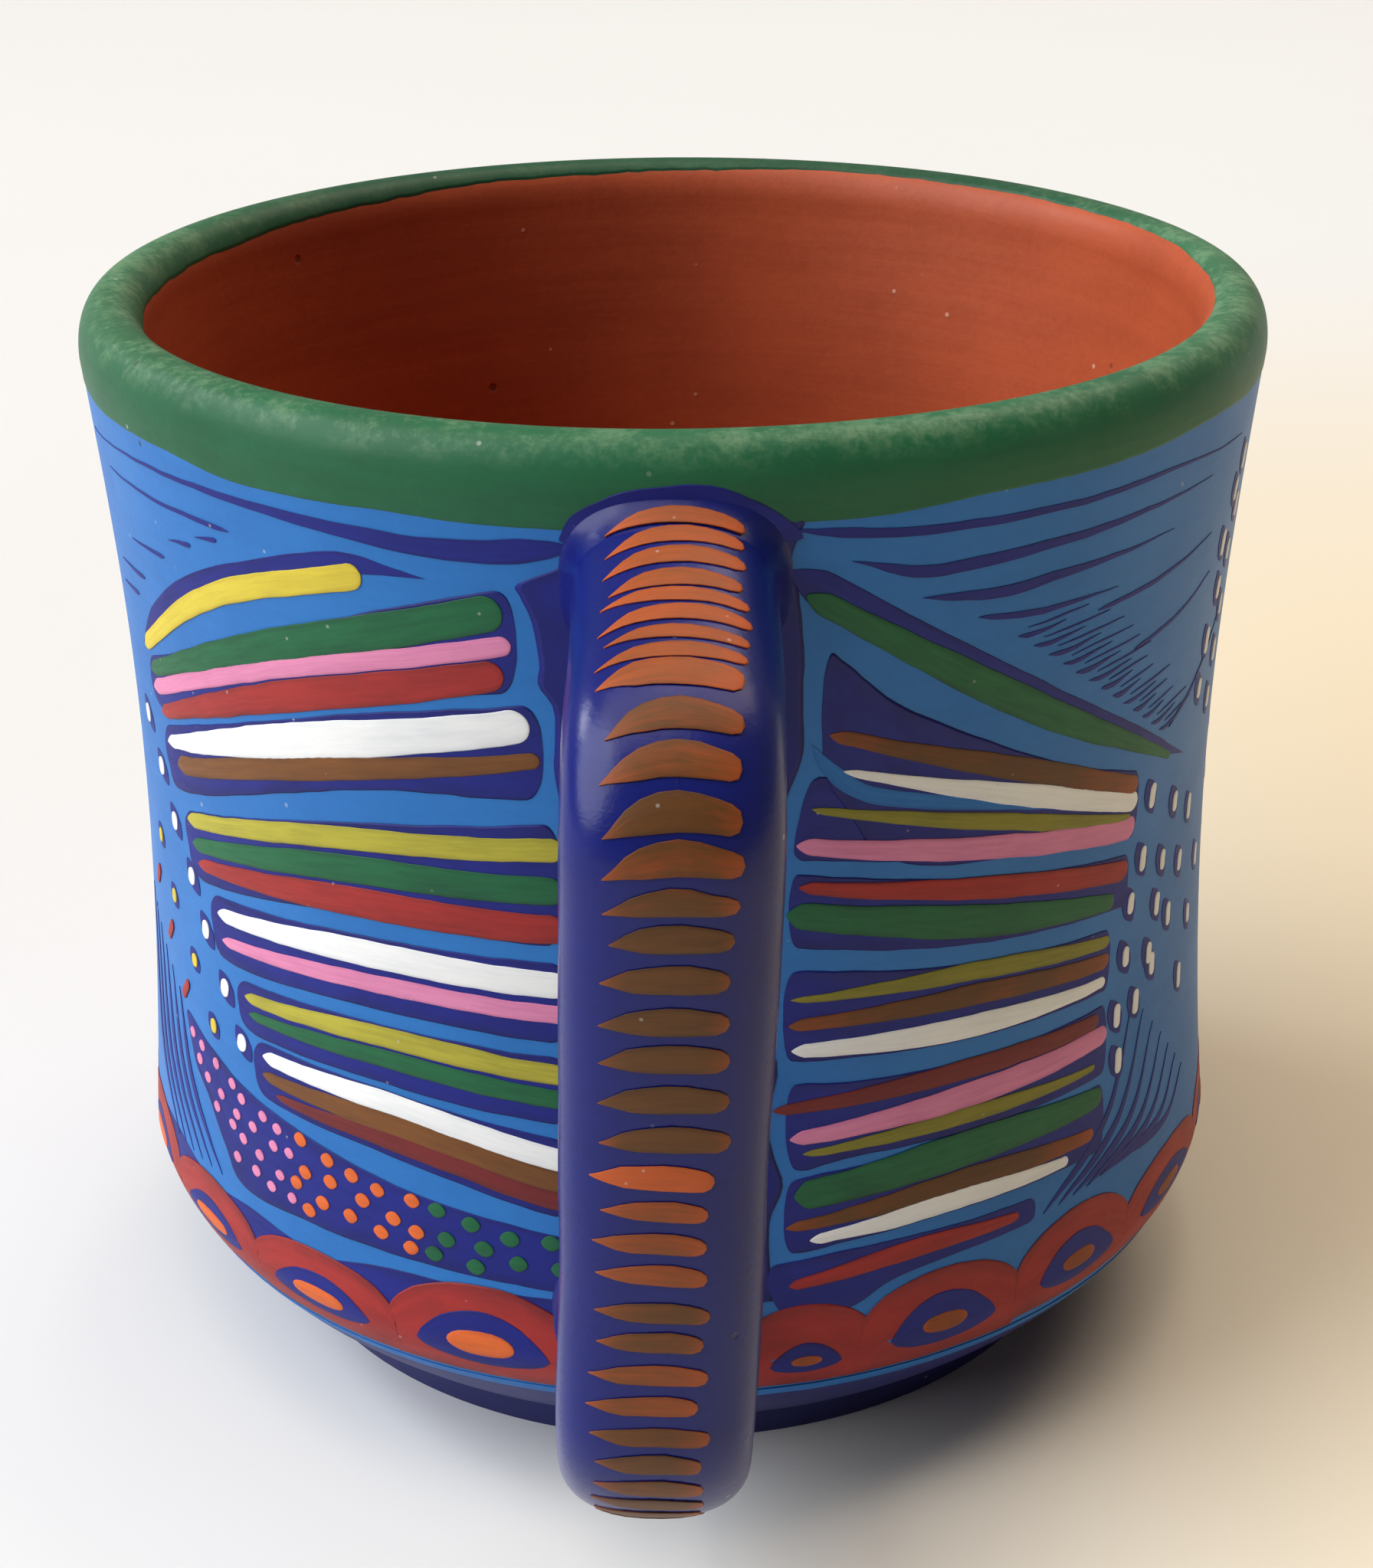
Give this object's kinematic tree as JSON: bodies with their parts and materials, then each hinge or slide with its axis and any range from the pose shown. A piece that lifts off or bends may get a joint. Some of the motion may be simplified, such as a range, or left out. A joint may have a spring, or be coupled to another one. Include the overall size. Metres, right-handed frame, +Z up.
{
  "type": "mug",
  "caption": "Hand-painted earthenware mug: a waisted cup with a rounded lip, a low foot and a strap handle luted to its wall.",
  "frame": {"origin": "middle of the flat base that the mug stands on, on the cup's axis", "axes": "+Z up along the cup's axis, the handle points to -Y"},
  "size_m": [0.096, 0.1215, 0.0895],
  "materials": {
    "cup_clay": "satin paint on fired clay, bare terracotta inside",
    "foot_clay": "satin dark blue paint on fired clay",
    "handle_clay": "satin cobalt paint on fired clay",
    "luting_clay": "satin cobalt paint on fired clay",
    "bare_terracotta": "unglazed matte terracotta",
    "cobalt_paint": "satin brushed paint",
    "light_blue_paint": "satin brushed paint",
    "rim_green_paint": "satin brushed paint, rubbed on the lip",
    "bar_green_paint": "satin brushed paint",
    "yellow_paint": "satin brushed paint",
    "olive_paint": "satin brushed paint",
    "pink_paint": "satin brushed paint",
    "red_paint": "satin brushed paint",
    "dark_red_paint": "satin brushed paint",
    "brown_paint": "satin brushed paint",
    "orange_paint": "satin brushed paint",
    "white_paint": "satin brushed paint"
  },
  "bodies": {
    "root": {"cup_body": "cup_clay", "foot": "foot_clay", "handle": "handle_clay", "upper_luting_clay": "luting_clay", "lower_luting_clay": "luting_clay"}
  },
  "joints": []
}
